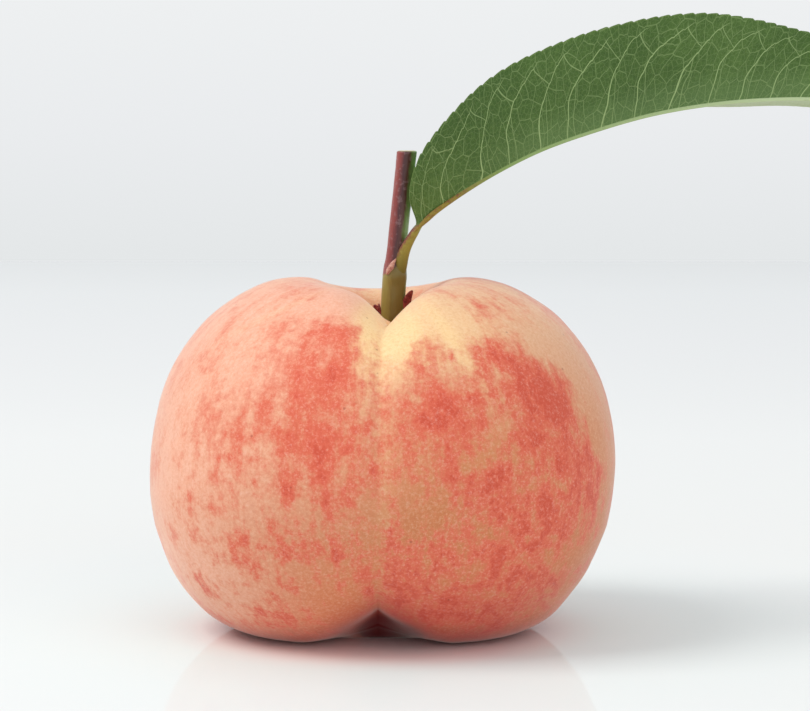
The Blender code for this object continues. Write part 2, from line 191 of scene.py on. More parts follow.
# Where a side vein forks on its way to the margin, and how fast its left branch leaves it.
FORK = 0.64
FORK_SLOPE = 25.0
QUILT_HEIGHT = 0.06
RIPPLE_HEIGHT = 0.28
CUPPING = 0.10
LAMINA_STEPS = 21
LAMINA_SHARES = [(1 - step / LAMINA_STEPS) ** 1.15 for step in range(LAMINA_STEPS)]
RIB_STEPS = 7
GROOVE_STEPS = 5
STALK_STRIDE = 0.35

BUD_FOOT = Vector((0.65, -1.7, NODE_HEIGHT))
# How far the bud leans forwards and right, in degrees, and its half width, half thickness and half height.
BUD_LEAN = (6, 30)
BUD_SIZE = (0.47, 0.44, 1.5)
# Each bud scale: direction from +X, height of its foot, length, width, lean and twist in degrees.
SCALES = ((-8, 50.4, 4.8, 2.3, 20, -42), (178, 48.9, 3.8, 2.4, 16, 55), (150, 49.0, 3.6, 1.8, 6, 20),
          (75, 49.4, 5.2, 1.8, 16, 0))
SCALE_THICKNESS = 0.22
SCALE_GAP = 0.35
# How finely the bud and a scale are drawn, round and along.
BUD_STEPS = (32, 28)
SCALE_STEPS = (24, 22)


def smooth_curve(points, place):
    """Point at place, 0 to 1, on the smooth curve that passes through the points at even steps."""
    spans = len(points) - 1
    index = min(int(place * spans), spans - 1)
    share = place * spans - index
    before, start, end, after = (
        Vector(points[min(max(index + step, 0), spans)]) for step in (-1, 0, 1, 2)
    )
    bend = 2 * before - 5 * start + 4 * end - after
    twist = 3 * (start - end) + after - before
    return start + 0.5 * share * (end - before + share * (bend + share * twist))


def between(pair, share):
    return pair[0] + (pair[1] - pair[0]) * share


def ease(low, high, value):
    """0 below low, 1 above high, and a smooth rise between."""
    share = min(max((value - low) / (high - low), 0.0), 1.0)
    return share * share * (3 - 2 * share)


def look_up(rows, value):
    """The rest of a row, between the two rows whose first entries enclose the value."""
    for low, high in zip(rows, rows[1:]):
        if value <= high[0]:
            share = max(0.0, (value - low[0]) / (high[0] - low[0]))
            return [between(pair, share) for pair in zip(low[1:], high[1:])]
    return list(rows[-1][1:])


def moulded(turns, rings, point_at, facts=None):
    """A closed ball of meridians and rings whose vertices are moved.

    point_at takes along and turn, each 0 to 1, and returns the vertex's place. facts names vertex attributes
    and gives a function of along and turn for each.
    """
    bm = bmesh.new()
    bmesh.ops.create_uvsphere(bm, u_segments=turns, v_segments=rings, radius=1.0)
    layers = {name: bm.verts.layers.float_vector.new(name) for name in facts or {}}
    for vert in bm.verts:
        along = 0.5 + math.asin(max(-1.0, min(1.0, vert.co.z))) / math.pi
        turn = math.atan2(vert.co.y, vert.co.x) / (2 * math.pi) % 1.0
        vert.co = point_at(along, turn)
        for name, layer in layers.items():
            vert[layer] = facts[name](along, turn)
    return bm


def finished_piece(name, bm, look, slot, *nodes, sharp=60):
    """Turns a bmesh into a piece that stands for its CAD nodes."""
    bmesh.ops.scale(bm, vec=(MM, MM, MM), verts=bm.verts)
    bmesh.ops.translate(bm, vec=FOOT, verts=bm.verts)
    bmesh.ops.recalc_face_normals(bm, faces=bm.faces)
    mesh = bpy.data.meshes.new(name)
    bm.to_mesh(mesh)
    bm.free()
    mesh.materials.append(look)
    mesh.shade_smooth()
    mesh.set_sharp_from_angle(angle=math.radians(sharp))
    piece = bpy.data.objects.new(name, mesh)
    bpy.context.scene.collection.objects.link(piece)
    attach(piece, "root")
    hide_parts(*nodes)
    return piece


# ---------------------------------------------------------------- fruit


@functools.lru_cache(maxsize=None)
def drawn_meridians(along):
    return tuple(smooth_curve(line, along) for line in (SIDE_MERIDIAN, FRONT_MERIDIAN, BACK_MERIDIAN))


def meridian_point(along, turn):
    """Radius and height of the skin, without its suture."""
    side = math.sin(turn) ** 2
    front = math.cos(turn) ** 2 if math.cos(turn) > 0 else 0.0
    shares = (side, front, 1.0 - side - front)
    point = Vector((0.0, 0.0))
    for drawn, share in zip(drawn_meridians(along), shares):
        point += drawn * share
    point.x += LOBE_FULLNESS * math.sin(math.pi * along) ** 2 * math.sin(2 * turn) ** 2
    return Vector((point.x, max(point.y, 0.0)))


@functools.lru_cache(maxsize=None)
def suture_at(along):
    return tuple(smooth_curve(SUTURE, along))


@functools.lru_cache(maxsize=None)
def fruit_point(along, turn):
    """Point of the skin: along is 0 at the blossom end and 1 in the stem cavity. The suture is at turn 0."""
    point = meridian_point(along, turn)
    ahead = meridian_point(min(along + SLOPE_STEP, 1.0), turn)
    behind = meridian_point(max(along - SLOPE_STEP, 0.0), turn)
    run = (ahead - behind).normalized()
    inward = Vector((-run.y, run.x))
    depth, reach, line, sharpness = suture_at(along)
    aside = abs(point.x * math.sin(turn) - line) / reach
    if math.cos(turn) > 0 and aside < 1:
        point += inward * depth * (1 - aside) ** sharpness
    standing = ease(2.0, 9.0, point.y) * ease(0, 5, point.x)
    place = Vector((point.x * math.sin(turn), -point.x * math.cos(turn), point.y))
    uneven = LUMP_HEIGHT * noise.noise(place / LUMP_SIZE) + DIMPLE_HEIGHT * noise.noise(place / DIMPLE_SIZE)
    point -= inward * uneven * standing
    radius = max(point.x, 0.0)
    shift = CAVITY_SHIFT * max(0.0, (along - CAVITY_START) / (1 - CAVITY_START)) ** 1.5
    across = radius * math.sin(turn)
    across *= 1 + look_up(LOBES, point.y)[0 if across < 0 else 1]
    return Vector((across + shift, -radius * math.cos(turn), max(point.y, 0.0)))


def suture_angle(turn):
    """Angle from the suture of one of the mesh's meridians, which stand closer together there."""
    angle = 2 * math.pi * (turn + 0.25)
    angle = math.atan2(math.sin(angle), math.cos(angle))
    return angle - FRONT_CROWDING * math.sin(angle)


def marks(rows, degrees, height):
    """Sum of soft patches at one place on the skin."""
    total = 0.0
    for direction, middle, half_width, half_height, slope, soft, strength in rows:
        off = (degrees - direction + 180) % 360 - 180
        reach = math.hypot(off / half_width, (height - middle - slope * off) / half_height)
        total += strength * (1 - ease(1 - soft, 1 + soft, reach))
    return total


def blush_fact(along, turn):
    """Red blush, yellow marks, and the rosy flush that is partly painted light."""
    angle = suture_angle(turn)
    height = fruit_point(along, angle).z
    return tuple(marks(rows, math.degrees(angle), height) for rows in (BLUSH, CREAM, PINK_AND_PAINTED_LIGHT))


def meridian_fact(along, turn):
    """Direction round the axis and place along the meridian, for streaks that follow the meridians."""
    angle = suture_angle(turn)
    return (math.sin(angle), -math.cos(angle), along)


def height_fact(along, turn):
    """Share of the fruit's height, how far into the stem cavity, and how much painted shade the notch and the
    bottom get.
    """
    angle = suture_angle(turn)
    height = fruit_point(along, angle).z
    furrow_shade = 0.6 * (1 - ease(0, 6, height)) + marks(FURROW_SHADE, math.degrees(angle), height)
    return (height / FRUIT_HEIGHT, ease(0.75, 0.9, along), max(1 - ease(0.06, 0.22, along), furrow_shade))


def make_fruit():
    facts = {"blush": blush_fact, "meridian": meridian_fact, "height": height_fact}

    def point_at(along, turn):
        return fruit_point(along, suture_angle(turn))

    bm = moulded(FRUIT_TURNS, FRUIT_RINGS, point_at, facts)
    return finished_piece("downy_fruit", bm, peach_skin(), "peach_skin", "peach_fruit", sharp=80)


# ---------------------------------------------------------------- shoot


def shoot_row(along):
    """Height, middle and radius on the shoot, and the share of the way in over its bevelled cut end."""
    height, middle, radius = smooth_curve(SHOOT, min(along / CUT_START, 1.0))
    over = max(0.0, (along - CUT_START) / (1 - CUT_START))
    return height + CUT_BEVEL * ease(0, 0.2, over), middle, radius, over


def shoot_point(along, turn):
    height, middle, radius, over = shoot_row(along)
    angle = 2 * math.pi * turn
    swell = NODE_SWELL * math.exp(-(((height - NODE_HEIGHT) / NODE_REACH) ** 2))
    swell *= max(0.0, math.cos(angle + NODE_TURN)) ** 2
    fibre = 0.0
    for relief, ridges, stretch in ((0.02, 4, 0.35), (0.025, 2, 0.8)):
        place = Vector((math.cos(angle) * ridges, math.sin(angle) * ridges, height * stretch))
        fibre += relief * noise.noise(place)
    foot = ease(0.0, 0.02, along)
    girth = (radius + swell + fibre) * foot * (1 - over) ** 0.8
    return Vector((middle + girth * math.cos(angle), girth * math.sin(angle), height))


def bark_fact(along, turn):
    """How far the bark faces right, and its height."""
    return (math.cos(2 * math.pi * turn), shoot_row(along)[0], 0.0)


def cut_fact(along, turn):
    """Share of the way in from the rim of the cut end, and whether the wood is bare there."""
    over = shoot_row(along)[3]
    return (over, 1.0 if over > 0.15 else 0.0, 0.0)


def make_shoot():
    bm = moulded(SHOOT_TURNS, SHOOT_RINGS, shoot_point, {"bark": bark_fact, "cut": cut_fact})
    return finished_piece("cut_shoot", bm, shoot_bark(), "shoot_bark", "fruiting_shoot", sharp=50)


# ---------------------------------------------------------------- leaf


def line_frame(line, place):
    """Point of the leaf's line, with the directions back and up that are square to it."""
    point = smooth_curve(line, place)
    along = smooth_curve(line, min(place + 0.01, 1.0)) - smooth_curve(line, max(place - 0.01, 0.0))
    back = Vector((-along.y, along.x, 0.0)).normalized()
    return point, back, along.cross(back).normalized()


def measured(line, steps=400):
    """Rows of (length from the start, place on the curve) along a line."""
    rows = [(0.0, 0.0)]
    for step in range(1, steps + 1):
        stride = smooth_curve(line, step / steps) - smooth_curve(line, (step - 1) / steps)
        rows.append((rows[-1][0] + stride.length, step / steps))
    return rows


LINE_ROWS = measured(LEAF_LINE)
BLADE_ROWS = [tuple(smooth_curve(BLADE, step / 300)) for step in range(301)]
LEAF_LENGTH = LINE_ROWS[-1][0]
BLADE_LENGTH = LEAF_LENGTH - BLADE_START


def tooth(length):
    """The margin's long, forward-pointing teeth: 0 in the notch between two and 1 on a tooth's crest."""
    share = (length / TOOTH_PITCH) % 1.0
    if share < TOOTH_CREST:
        return (share / TOOTH_CREST) ** 0.55
    return ((1 - share) / (1 - TOOTH_CREST)) ** 0.8


def loosened(length):
    """Length along the blade, stretched here and there so that the side veins stand unevenly."""
    return length + 3.2 * noise.noise(Vector((length / 9.0, 3.3, 0.0)))


def vein_drift(length, share):
    """How far towards the tip a side vein has run when it is this share of the way to the margin."""
    start = 0.6 + 0.5 * noise.noise(Vector((length / 5.0, 7.7, 0.0)))
    bend = abs((2.4 * share + start) % 1.0 - 0.5)
    return VEIN_LEAN * share + VEIN_CURVE * share**2.9 + VEIN_KINK * bend


def vein_height(length, share):
    """1 on the middle of a side vein and 0 between veins."""
    off = ((loosened(length) - vein_drift(length, share)) / VEIN_PITCH + 0.5) % 1.0 - 0.5
    line = math.exp(-((off * VEIN_PITCH / VEIN_WIDTH) ** 2))
    return line * (1 - ease(0.8, 0.95, share))


def lamina_points(point, reach, skin, half_width, length, bow):
    """The under and the upper side of one half of the blade, each from the margin to the midrib."""
    under = []
    upper = []
    share_of_blade = length / BLADE_LENGTH
    for share in LAMINA_SHARES:
        sag = bow * half_width * (share * share - 0.6 * share)
        ripple = RIPPLE_HEIGHT * noise.noise(Vector((length / 9.0, share * 1.6, bow * 9))) * share
        phase = (loosened(length) - vein_drift(length, share)) / VEIN_PITCH
        quilt = -QUILT_HEIGHT * math.cos(2 * math.pi * phase) * (1 - share) * share
        middle = point + reach * half_width * share + skin * (sag + ripple + quilt) * ease(0, 4, length)
        vein = VEIN_RELIEF * vein_height(length, share) * (1 - 0.6 * share_of_blade)
        edge = 0.0 if share == 1 else 1.0
        under.append(middle + skin * edge * (BLADE_THICKNESS / 2 + vein))
        upper.append(middle - skin * edge * (BLADE_THICKNESS / 2 - 0.5 * vein))
    return under, upper


def tilted(back, up, lean):
    """The direction that leans this many degrees from back towards up."""
    return back * math.cos(math.radians(lean)) + up * math.sin(math.radians(lean))


def arc(low, high, steps):
    """Evenly spaced angles, from degrees to radians."""
    return [math.radians(between((low, high), step / (steps - 1))) for step in range(steps)]


def leaf_section(distance):
    """The ring of points round the leaf at one distance along its line."""
    point, back, up = line_frame(LEAF_LINE, look_up(LINE_ROWS, distance)[0])
    length = max(distance - BLADE_START, 0.0)
    share = length / BLADE_LENGTH
    half_width, *leans = look_up(BLADE_ROWS, share)
    opened = ease(-1.5, 2.5, distance - BLADE_START)
    stalk_radius = STALK_RADIUS + STALK_FLARE * (1 - ease(4, 10.5, distance))
    rib_radius = between(MIDRIB_RADIUS, share) + MIDRIB_FLARE * (1 - ease(2, 16, length))
    radius = between((stalk_radius, rib_radius), opened)
    notch = TOOTH_DEPTH * (1 - tooth(length)) * ease(0.02, 0.06, share) * (1 - ease(0.93, 0.99, share))
    half_width = max(half_width - notch, 0.3)
    halves = []
    for lean, side in zip(leans, (-1, 1)):
        skin = side * tilted(back, up, lean - 90)
        halves.append(lamina_points(point, tilted(back, up, lean), skin, half_width, length, CUPPING * side))
    opening = 0.5 * sum(leans)
    inside = tilted(back, up, opening)
    across = tilted(back, up, opening - 90)
    rib = [
        point - inside * radius * (0.3 + math.cos(turn)) + across * radius * math.sin(turn)
        for turn in arc(-100, 100, RIB_STEPS)
    ]
    groove = [
        point + inside * 0.25 * radius + across * 0.7 * radius * math.sin(turn)
        for turn in arc(60, -60, GROOVE_STEPS)
    ]
    (near_under, near_upper), (far_under, far_upper) = halves
    spread = near_under + rib + far_under[::-1] + far_upper + groove + near_upper[::-1]
    ring = []
    for index, opened_point in enumerate(spread):
        stalk_point = point + radius * tilted(back, up, 360 * (index + 0.5) / len(spread) - 270)
        ring.append(stalk_point.lerp(opened_point, opened))
    return ring


def leaf_facts(distance):
    """Three facts for each point of the same ring.

    blade: length along the blade, then the distance from the midrib and its share of the way to the margin,
    both negative on the near half. side: 1 on the upper side, 1 under the far half, which is painted pale
    there as a painted reflection, and how far the stalk faces up. vein: the loosened length and a side vein's
    drift, whose difference is the same all along it.
    """
    length = distance - BLADE_START
    share = min(max(length / BLADE_LENGTH, 0.0), 1.0)
    half_width = look_up(BLADE_ROWS, share)[0]
    near = [-side for side in LAMINA_SHARES]
    under = near + [0] * RIB_STEPS + LAMINA_SHARES[::-1]
    sides = under + LAMINA_SHARES + [0] * GROOVE_STEPS + near[::-1]
    far_under = range(LAMINA_STEPS + RIB_STEPS, len(under))
    rows = []
    for index, side in enumerate(sides):
        above = math.cos(2 * math.pi * (index + 0.5) / len(sides))
        rows.append({
            "blade": (length, side * half_width, side),
            "side": (float(index >= len(under)), float(index in far_under), above),
            "vein": (loosened(length), vein_drift(length, abs(side)), 0.0),
        })
    return rows


def make_leaf():
    stride = TOOTH_PITCH / TOOTH_STEPS
    stations = [step * STALK_STRIDE for step in range(int(BLADE_START / STALK_STRIDE))]
    stations += [BLADE_START + step * stride for step in range(int(BLADE_LENGTH / stride))] + [LEAF_LENGTH]
    sections = [leaf_section(distance) for distance in stations]
    facts = [leaf_facts(distance) for distance in stations]
    turns = len(sections[0])
    rings = len(sections) + 1

    def at(rows, along, turn):
        ring = min(max(round(along * rings) - 1, 0), rings - 2)
        return rows[ring][round(turn * turns) % turns]

    def point_at(along, turn):
        if along < 0.5 / rings:
            return sum(sections[0], Vector()) / turns
        if along > 1 - 0.5 / rings:
            return sum(sections[-1], Vector()) / turns
        return at(sections, along, turn)

    def fact(name, along, turn):
        return at(facts, along, turn)[name]

    named = {name: functools.partial(fact, name) for name in ("blade", "side", "vein")}
    bm = moulded(turns, rings, point_at, named)
    return finished_piece("folded_leaf", bm, leaf_blade(), "leaf_blade", "leaf", sharp=70)


# ---------------------------------------------------------------- bud and bud scales


def bud_point(along, turn):
    """The bud's outline narrows to a point, and its outer scales overlap in low steps."""
    height = math.sin(math.pi * (along - 0.5))
    angle = 2 * math.pi * turn
    girth = math.cos(math.pi * (along - 0.5)) * (1.0 - 0.5 * max(height, 0.0))
    girth *= 1 + 0.06 * math.sin(5 * math.pi * along + angle) + 0.04 * math.sin(3 * angle)
    width, thickness, half_height = BUD_SIZE
    across = girth * width * math.cos(angle)
    return Vector((across, girth * thickness * math.sin(angle), (height + 1) * half_height))


def make_bud():
    bm = moulded(*BUD_STEPS, bud_point)
    forwards, right = (math.radians(angle) for angle in BUD_LEAN)
    turned = Matrix.Rotation(forwards, 4, "X") @ Matrix.Rotation(right, 4, "Y")
    bmesh.ops.transform(bm, matrix=Matrix.Translation(BUD_FOOT) @ turned, verts=bm.verts)
    return finished_piece("leaf_bud", bm, bud_down(), "bud_down", "axillary_bud")


def scale_point(along, turn, length, width, lean, seed):
    """A dry bud scale: thin, hollow towards the shoot, with a ragged tip that leans outwards."""
    angle = 2 * math.pi * turn
    across = math.cos(angle)
    half = 0.5 * width * (1 - along**2.2) ** 0.5 * (0.25 + 0.75 * ease(0, 0.2, along))
    thick = SCALE_THICKNESS * 0.5 * ease(0, 0.05, along) * (1 - 0.5 * along)
    ragged = 0.12 * noise.noise(Vector((across * 2, along * 4, seed)))
    hollow = 0.35 * width * across * across * (1 - 0.3 * along)
    away = length * along * math.sin(math.radians(lean)) * along - hollow * 0.5
    height = length * along * math.cos(math.radians(lean) * along) + ragged * along
    return Vector((away + thick * math.sin(angle) + ragged, half * across, height))


def make_scales():
    look = dry_scale()
    foot_middle = SHOOT[1][1]
    foot_radius = SHOOT[2][2] + SCALE_GAP
    for number, (direction, height, length, width, lean, twist) in enumerate(SCALES, start=1):
        point_at = functools.partial(scale_point, length=length, width=width, lean=lean, seed=number)
        bm = moulded(*SCALE_STEPS, point_at)
        bmesh.ops.rotate(bm, matrix=Matrix.Rotation(math.radians(twist), 3, "Z"), verts=bm.verts)
        bmesh.ops.translate(bm, vec=(foot_radius, 0, height), verts=bm.verts)
        bmesh.ops.rotate(bm, matrix=Matrix.Rotation(math.radians(direction), 3, "Z"), verts=bm.verts)
        bmesh.ops.translate(bm, vec=(foot_middle, 0, 0), verts=bm.verts)
        finished_piece(f"dry_scale_{number}", bm, look, "bud_scale", f"bud_scale_{number}")


# ---------------------------------------------------------------- materials


def linear(hex_colour):
    """An sRGB hex value as linear red, green, blue and full alpha."""
    shares = [int(hex_colour[at : at + 2], 16) / 255 for at in (1, 3, 5)]
    light = [share / 12.92 if share <= 0.04045 else ((share + 0.055) / 1.055) ** 2.4 for share in shares]
    return (*light, 1.0)


def live(sockets, key=None):
    """A socket by its index, the one in use by that name, or the first in use."""
    if isinstance(key, int):
        return sockets[key]
    return next(socket for socket in sockets if socket.enabled and key in (None, socket.name))


def add_node(tree, kind, links=None, stops=None, **settings):
    """Adds a shader node with its settings. links gives each input a value, a node or a socket."""
    made = tree.nodes.new(f"ShaderNode{kind}")
    for name, value in settings.items():
        setattr(made, name, value)
    if stops:
        ends = made.color_ramp.elements
        for stop, (place, colour) in zip((ends[0], ends[-1]), (stops[0], stops[-1])):
            stop.position, stop.color = place, linear(colour)
        for place, colour in stops[1:-1]:
            ends.new(place).color = linear(colour)
    for key, value in (links or {}).items():
        socket = live(made.inputs, key)
        if isinstance(value, bpy.types.Node):
            value = live(value.outputs)
        if isinstance(value, bpy.types.NodeSocket):
            tree.links.new(value, socket)
        else:
            socket.default_value = value
    return made


def new_material(name, **sockets):
    """A Principled material with constant sockets, and the function that adds nodes to it."""
    made = bpy.data.materials.new(name)
    made.use_nodes = True
    shader = made.node_tree.nodes["Principled BSDF"]
    for key, value in sockets.items():
        shader.inputs[key.replace("_", " ")].default_value = value
    return made, functools.partial(add_node, made.node_tree)


def split_fact(put, name):
    """The three numbers of a vertex attribute."""
    vector = put("Attribute", attribute_name=name).outputs["Vector"]
    return put("SeparateXYZ", {0: vector}).outputs


def finished_look(made, put, colour, relief=None, strength=0.0, height=0.0):
    """Gives the shader its colour and, from a relief, a bump this many millimetres high."""
    shader = made.node_tree.nodes["Principled BSDF"]
    made.node_tree.links.new(live(colour.outputs), shader.inputs["Base Color"])
    if relief:
        bump = put("Bump", {"Height": relief, "Strength": strength, "Distance": height * MM})
        made.node_tree.links.new(live(bump.outputs), shader.inputs["Normal"])
    return made


def peach_skin():
    """Ripe peach skin, thin and matt under a short down that pales it at the edges.

    Its ground goes from cream at the top to apricot below, and darkest at the table as painted shade. Blush
    lies over it in soft patches, broken up into streaks along the meridians, with finer mottling and pale
    down speckle within them.
    """
    made, put = new_material(
        "downy_peach_skin", Roughness=0.6, IOR=1.4, Specular_IOR_Level=0.3, Sheen_Weight=0.58,
        Sheen_Roughness=0.32, Sheen_Tint=linear("#fdeee6"), Subsurface_Weight=0.12, Subsurface_Scale=0.003,
        Subsurface_Radius=(1.0, 0.4, 0.25))
    place = put("TexCoord").outputs["Object"]
    meridian = put("Attribute", attribute_name="meridian").outputs["Vector"]
    blush, cream, pink_and_painted_light = split_fact(put, "blush")
    height, cavity, furrow_shade = split_fact(put, "height")
    # Streaks about 2 mm wide along the meridians, blotches a few millimetres across, mottling of a millimetre
    # or two, and down speckle under half of one.
    streak_place = put("VectorMath", {0: meridian, 1: (17.0, 17.0, 14.0)}, operation="MULTIPLY")
    streaks = put("TexNoise", {"Vector": streak_place, "Scale": 1.0, "Detail": 4.0, "Roughness": 0.6,
                               "Distortion": 0.2})
    blotches = put("TexNoise", {"Vector": place, "Scale": 150.0, "Detail": 5.0, "Roughness": 0.62,
                                "Distortion": 0.15})
    mottle = put("TexNoise", {"Vector": place, "Scale": 620.0, "Detail": 4.0, "Roughness": 0.7})
    speckle = put("TexNoise", {"Vector": place, "Scale": 2000.0, "Detail": 4.0, "Roughness": 0.8})
    # Ground colour by height; its lowest stop is darker, as painted shade near the table.
    colour = put("ValToRGB", {0: height}, stops=(
        (0.0, "#b85a40"), (0.12, "#da8057"), (0.35, "#cf8053"), (0.6, "#d78f63"), (0.78, "#e3aa83"),
        (1.0, "#efc39c")))
    # Over the ground: the flush, partly painted light on the left side; the cream marks; and the stem
    # cavity's darker orange-brown, which is painted shade.
    for share, shade in ((pink_and_painted_light, "#eeb297"), (cream, "#f6d29c"), (cavity, "#c26f45")):
        colour = put("Mix", {"Factor": share, "A": colour, "B": linear(shade)}, data_type="RGBA")
    # Each noise lies about one half, so half of their shares together is taken away to centre the pattern.
    shares = ((streaks, 1.1), (blotches, 2.0), (mottle, 1.3))
    patchiness = -0.5 * sum(share for pattern, share in shares)
    for pattern, share in shares:
        patchiness = put("Math", {0: pattern, 1: share, 2: patchiness}, operation="MULTIPLY_ADD")
    # It is softer towards the top and under the rosy flush, which is partly painted light, and the cavity has
    # little red.
    softness = put("Math", {0: pink_and_painted_light, 1: 0.3, 2: height}, operation="MULTIPLY_ADD")
    patchy = put("MapRange", {"Value": softness, "From Min": 0.3, "To Min": 1.75, "To Max": 0.75})
    base_red = 0.09
    amount = put("Math", {0: cavity, 1: -0.6, 2: base_red}, operation="MULTIPLY_ADD")
    amount = put("Math", {0: amount, 1: blush}, operation="ADD")
    amount = put("Math", {0: patchiness, 1: patchy, 2: amount}, operation="MULTIPLY_ADD")
    wash = put("MapRange", {"Value": amount, "From Min": -0.2, "From Max": 0.72},
               interpolation_type="SMOOTHSTEP")
    reds = put("ValToRGB", {0: amount}, stops=(
        (0.0, "#e4936d"), (0.3, "#e17e60"), (0.6, "#e07257"), (0.85, "#de674f"), (1.0, "#d65b45")))
    colour = put("Mix", {"Factor": wash, "A": colour, "B": reds}, data_type="RGBA")
    # The same fine noise gives pale tips of down where it is high and pores where it is low.
    for end, most, shade in ((0.72, 0.29, "#f8dfca"), (0.28, 0.28, "#bd5540")):
        grain = put("MapRange", {"Value": speckle, "From Min": 0.5, "From Max": end, "To Max": most})
        colour = put("Mix", {"Factor": grain, "A": colour, "B": linear(shade)}, data_type="RGBA")
    # Painted shade: the notch between the lobes and the skin nearest the table are mixed towards dark red.
    furrow_shade_colour = put("ValToRGB", {0: furrow_shade}, stops=((0.3, "#b03c38"), (0.8, "#a02826"), (1.0, "#74161a")))
    furrow_shade_share = put("Math", {0: furrow_shade, 1: 0.92}, operation="MULTIPLY", use_clamp=True)
    colour = put("Mix", {"Factor": furrow_shade_share, "A": colour, "B": furrow_shade_colour}, data_type="RGBA")
    # A few dark dots, about half a millimetre across.
    dots = put("TexVoronoi", {"Vector": place, "Scale": 210.0, "Randomness": 1.0})
    dot = put("MapRange", {"Value": dots, "From Min": 0.03, "From Max": 0.055, "To Min": 0.4,
                           "To Max": 0.0})
    colour = put("Mix", {"Factor": dot, "A": colour, "B": linear("#8c3f34")}, data_type="RGBA")
    relief = put("Math", {0: speckle, 1: mottle}, operation="ADD")
    return finished_look(made, put, colour, relief, 0.22, 0.1)


def shoot_bark():
    """Young peach bark: smooth, slightly waxy, red where the sun struck it, green behind, olive below."""
    made, put = new_material("young_bark", Roughness=0.38, IOR=1.5, Coat_Weight=0.22, Coat_Roughness=0.34)
    place = put("TexCoord").outputs["Object"]
    right, height = split_fact(put, "bark")[:2]
    inwards, bare = split_fact(put, "cut")[:2]
    # Fibres under half a millimetre wide, drawn out along the shoot, and corky specks a little wider.
    long_place = put("VectorMath", {0: place, 1: (1.0, 1.0, 0.25)}, operation="MULTIPLY")
    fibre = put("TexNoise", {"Vector": long_place, "Scale": 2200.0, "Detail": 3.0, "Roughness": 0.6})
    corky = put("TexNoise", {"Vector": place, "Scale": 1500.0, "Detail": 2.0})
    side = put("Math", {0: fibre, 1: 0.5, 2: right}, operation="MULTIPLY_ADD")
    side = put("MapRange", {"Value": side, "From Min": -0.75, "From Max": 1.25})
    upper = put("ValToRGB", {0: side}, stops=(
        (0.0, "#96443c"), (0.22, "#80332f"), (0.42, "#471d22"), (0.66, "#553127"), (0.78, "#647a40"),
        (1.0, "#8dbb66")))
    lower = put("ValToRGB", {0: side}, stops=(
        (0.0, "#9a9048"), (0.3, "#87783a"), (0.42, "#756529"), (0.9, "#6c6128"), (1.0, "#5f7a3a")))
    speck = put("MapRange", {"Value": corky, "From Min": 0.55, "From Max": 0.68, "To Max": 0.4})
    upper = put("Mix", {"Factor": speck, "A": upper, "B": linear("#97787a")}, data_type="RGBA")
    # The olive bark ends at a slanting border just above the leaf's node.
    border = put("Math", {0: right, 1: -1.4, 2: height}, operation="MULTIPLY_ADD")
    above = put("MapRange", {"Value": border, "From Min": NODE_HEIGHT + 0.9,
                             "From Max": NODE_HEIGHT + 1.5}, interpolation_type="SMOOTHSTEP")
    bark = put("Mix", {"Factor": above, "A": lower, "B": upper}, data_type="RGBA")
    wood = put("ValToRGB", {0: inwards}, stops=(
        (0.0, "#5a3a2c"), (0.16, "#6f7a3c"), (0.24, "#b7ab72"), (0.6, "#d9cfa2"), (0.85, "#c7b98a"),
        (1.0, "#a08a5c")))
    colour = put("Mix", {"Factor": bare, "A": bark, "B": wood}, data_type="RGBA")
    return finished_look(made, put, colour, fibre, 0.3, 0.1)


